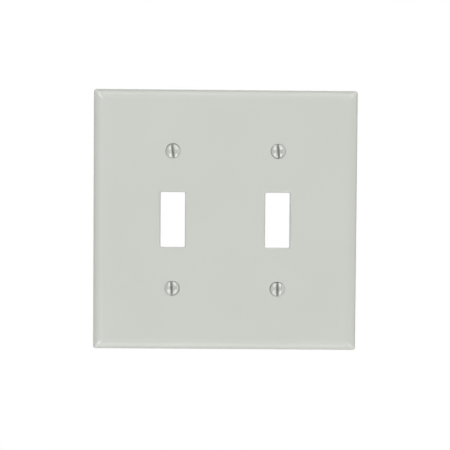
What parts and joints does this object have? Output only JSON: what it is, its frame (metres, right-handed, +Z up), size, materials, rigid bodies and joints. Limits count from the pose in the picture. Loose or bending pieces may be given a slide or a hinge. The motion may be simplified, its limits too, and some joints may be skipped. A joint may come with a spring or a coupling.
{
  "type": "two-gang toggle switch wall plate",
  "caption": "Square moulded wall plate with two upright toggle openings, a rolled border and slotted oval-head mounting screws.",
  "frame": {"origin": "centre of the back plane, midway between the four screw positions", "axes": "seen from the front, +X is right and +Z is up; +Y points into the wall, and the front faces -Y"},
  "size_m": [0.116, 0.0138, 0.1142],
  "materials": {
    "moulded_plastic": "smooth semi-gloss light grey thermoset",
    "painted_screw": "zinc-plated steel with a baked enamel head that matches the plate"
  },
  "bodies": {
    "plate": {"wall_plate": "moulded_plastic"},
    "upper_left": {"screw_upper_left": "painted_screw"},
    "upper_right": {"screw_upper_right": "painted_screw"},
    "lower_left": {"screw_lower_left": "painted_screw"},
    "lower_right": {"screw_lower_right": "painted_screw"}
  },
  "joints": [
    {"name": "upper_left_turn", "type": "hinge", "parent": "plate", "child": "upper_left", "pos_m": [-0.02299, 0, 0.03004], "axis": [0, 1, 0], "continuous": true},
    {"name": "upper_right_turn", "type": "hinge", "parent": "plate", "child": "upper_right", "pos_m": [0.02307, 0, 0.0303], "axis": [0, 1, 0], "continuous": true},
    {"name": "lower_left_turn", "type": "hinge", "parent": "plate", "child": "lower_left", "pos_m": [-0.02321, 0, -0.03013], "axis": [0, 1, 0], "continuous": true},
    {"name": "lower_right_turn", "type": "hinge", "parent": "plate", "child": "lower_right", "pos_m": [0.02318, 0, -0.03027], "axis": [0, 1, 0], "continuous": true}
  ]
}
